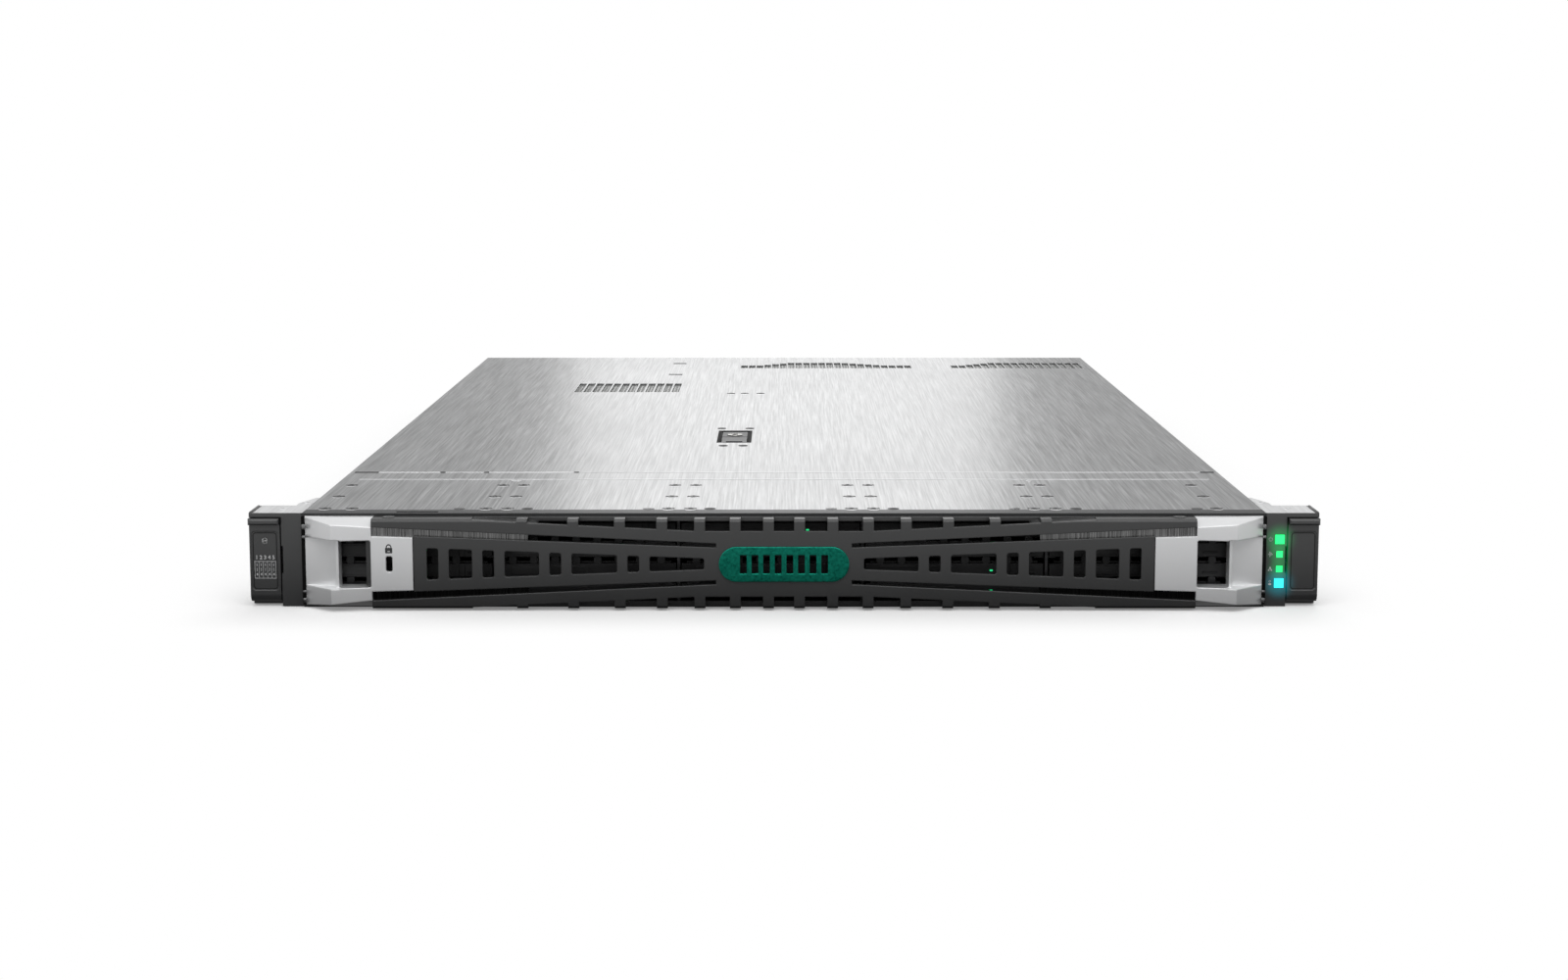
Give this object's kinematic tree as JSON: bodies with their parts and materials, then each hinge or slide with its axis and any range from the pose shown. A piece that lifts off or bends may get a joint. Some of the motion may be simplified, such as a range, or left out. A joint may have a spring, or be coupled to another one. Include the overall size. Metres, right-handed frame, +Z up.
{
  "type": "rack server",
  "caption": "Flat rack-mount server with a ventilated lattice bezel, quick-release ears, drive bays, fans, a lift-off vented cover and slide-out power supplies.",
  "frame": {"origin": "on the underside, half way across, in the plane of the rack flanges (the back faces of the ears)", "axes": "+X to the right seen from the front, +Y from the front to the back along the depth, +Z up"},
  "size_m": [0.4826, 0.777, 0.0429],
  "materials": {
    "galvanised_steel": "brushed along the depth",
    "cover_steel": "brushed along the depth",
    "dark_frame": "dark satin paint",
    "stud_steel": "turned and plated",
    "latch_plastic": "fine matte",
    "cage_steel": "plain rolled",
    "drive_case": "dark anodised",
    "board_green": "solder mask",
    "processor_lid": "nickel plated",
    "heatsink_metal": "plain",
    "socket_black": "moulded",
    "psu_case": "plain plated sheet",
    "black_plastic": "fine matte",
    "release_blue": "fine matte",
    "card_steel": "plain plated sheet",
    "port_shell": "nickel plated",
    "ear_steel": "plain plated",
    "charcoal_plastic": "fine spark texture",
    "screw_steel": "zinc plated",
    "button_green": "lit lens",
    "button_blue": "lit lens",
    "bezel_plastic": "fine spark texture",
    "backing_steel": "brushed across",
    "grip_silver": "silver paint",
    "insert_metal": "teal anodised"
  },
  "bodies": {
    "chassis": {"chassis_tray": "galvanised_steel", "rear_panel": "galvanised_steel", "front_frame": "dark_frame", "front_top_panel": "cover_steel", "rail_studs": "stud_steel", "drive_cage": "cage_steel", "drive_backplane": "board_green", "system_board": "board_green", "processors": "processor_lid", "memory_sockets": "socket_black", "memory_modules": "board_green", "cpu_heatsink_left": "heatsink_metal", "cpu_heatsink_right": "heatsink_metal", "psu_connector_board": "board_green", "riser_cage_left": "card_steel", "riser_cage_right": "card_steel", "riser_boards": "board_green", "slot_blanks": "card_steel", "network_adapter": "card_steel", "mezzanine_blank": "card_steel", "rear_ports": "port_shell", "right_ear_bracket": "ear_steel", "left_ear_bracket": "ear_steel", "right_ear_cover": "charcoal_plastic", "left_ear_cover": "charcoal_plastic", "rack_screws": "screw_steel", "status_lights": "button_green", "status_board": "board_green", "fan_frames": "black_plastic", "drives_box_1": "drive_case", "drives_box_2": "drive_case", "drives_box_3": "drive_case", "drives_box_4": "drive_case", "drives_box_5": "drive_case"},
    "access_cover": {"access_cover": "cover_steel", "cover_latch_tray": "latch_plastic"},
    "cover_latch": {"cover_latch_lever": "latch_plastic"},
    "bezel": {"bezel_frame": "bezel_plastic", "bezel_backing": "backing_steel", "bezel_grip_left": "grip_silver", "bezel_grip_right": "grip_silver", "bezel_hub_insert": "insert_metal"},
    "bezel_latch": {"bezel_latch": "charcoal_plastic"},
    "left_lever": {"left_ear_lever": "charcoal_plastic"},
    "right_lever": {"right_ear_lever": "charcoal_plastic"},
    "power_button": {"power_button": "button_green"},
    "locator_button": {"locator_button": "button_blue"},
    "fan_1": {"fan_rotor_1": "black_plastic"},
    "fan_2": {"fan_rotor_2": "black_plastic"},
    "fan_3": {"fan_rotor_3": "black_plastic"},
    "fan_4": {"fan_rotor_4": "black_plastic"},
    "fan_5": {"fan_rotor_5": "black_plastic"},
    "fan_6": {"fan_rotor_6": "black_plastic"},
    "psu_left": {"psu_left": "psu_case"},
    "psu_handle_left": {"psu_handle_left": "black_plastic"},
    "psu_release_left": {"psu_release_left": "release_blue"},
    "psu_right": {"psu_right": "psu_case"},
    "psu_handle_right": {"psu_handle_right": "black_plastic"},
    "psu_release_right": {"psu_release_right": "release_blue"}
  },
  "joints": [
    {"name": "bezel_pull", "type": "slide", "parent": "chassis", "child": "bezel", "axis": [0, -1, 0], "range_m": [0, 0.06]},
    {"name": "bezel_latch_slide", "type": "slide", "parent": "bezel", "child": "bezel_latch", "axis": [1, 0, 0], "range_m": [0, 0.0024], "stiffness_N_per_m": 300},
    {"name": "cover_lift", "type": "slide", "parent": "chassis", "child": "access_cover", "axis": [0, 0, 1], "range_m": [0, 0.12]},
    {"name": "cover_latch_hinge", "type": "hinge", "parent": "access_cover", "child": "cover_latch", "pos_m": [-0.0274, 0.2805, 0.0409], "axis": [-1, 0, 0], "range_deg": [0, 95]},
    {"name": "left_lever_hinge", "type": "hinge", "parent": "chassis", "child": "left_lever", "pos_m": [-0.2344, -0.02, 0.0055], "axis": [1, 0, 0], "range_deg": [0, 80]},
    {"name": "right_lever_hinge", "type": "hinge", "parent": "chassis", "child": "right_lever", "pos_m": [0.2344, -0.02, 0.0055], "axis": [1, 0, 0], "range_deg": [0, 80]},
    {"name": "power_button_press", "type": "slide", "parent": "chassis", "child": "power_button", "axis": [0, 1, 0], "range_m": [0, 0.001], "stiffness_N_per_m": 300},
    {"name": "locator_button_press", "type": "slide", "parent": "chassis", "child": "locator_button", "axis": [0, 1, 0], "range_m": [0, 0.001], "stiffness_N_per_m": 300},
    {"name": "fan_1_spin", "type": "hinge", "parent": "chassis", "child": "fan_1", "pos_m": [-0.17, 0.155, 0.021], "axis": [0, 1, 0], "continuous": true},
    {"name": "fan_2_spin", "type": "hinge", "parent": "chassis", "child": "fan_2", "pos_m": [-0.102, 0.155, 0.021], "axis": [0, 1, 0], "continuous": true},
    {"name": "fan_3_spin", "type": "hinge", "parent": "chassis", "child": "fan_3", "pos_m": [-0.034, 0.155, 0.021], "axis": [0, 1, 0], "continuous": true},
    {"name": "fan_4_spin", "type": "hinge", "parent": "chassis", "child": "fan_4", "pos_m": [0.034, 0.155, 0.021], "axis": [0, 1, 0], "continuous": true},
    {"name": "fan_5_spin", "type": "hinge", "parent": "chassis", "child": "fan_5", "pos_m": [0.102, 0.155, 0.021], "axis": [0, 1, 0], "continuous": true},
    {"name": "fan_6_spin", "type": "hinge", "parent": "chassis", "child": "fan_6", "pos_m": [0.17, 0.155, 0.021], "axis": [0, 1, 0], "continuous": true},
    {"name": "psu_left_slide", "type": "slide", "parent": "chassis", "child": "psu_left", "axis": [0, 1, 0], "range_m": [0, 0.2]},
    {"name": "psu_handle_left_hinge", "type": "hinge", "parent": "psu_left", "child": "psu_handle_left", "pos_m": [-0.16535, 0.7324, 0.0352], "axis": [1, 0, 0], "range_deg": [0, 95]},
    {"name": "psu_release_left_slide", "type": "slide", "parent": "psu_left", "child": "psu_release_left", "axis": [-1, 0, 0], "range_m": [0, 0.0015], "stiffness_N_per_m": 300},
    {"name": "psu_right_slide", "type": "slide", "parent": "chassis", "child": "psu_right", "axis": [0, 1, 0], "range_m": [0, 0.2]},
    {"name": "psu_handle_right_hinge", "type": "hinge", "parent": "psu_right", "child": "psu_handle_right", "pos_m": [-0.09135, 0.7324, 0.0352], "axis": [1, 0, 0], "range_deg": [0, 95]},
    {"name": "psu_release_right_slide", "type": "slide", "parent": "psu_right", "child": "psu_release_right", "axis": [-1, 0, 0], "range_m": [0, 0.0015], "stiffness_N_per_m": 300}
  ]
}
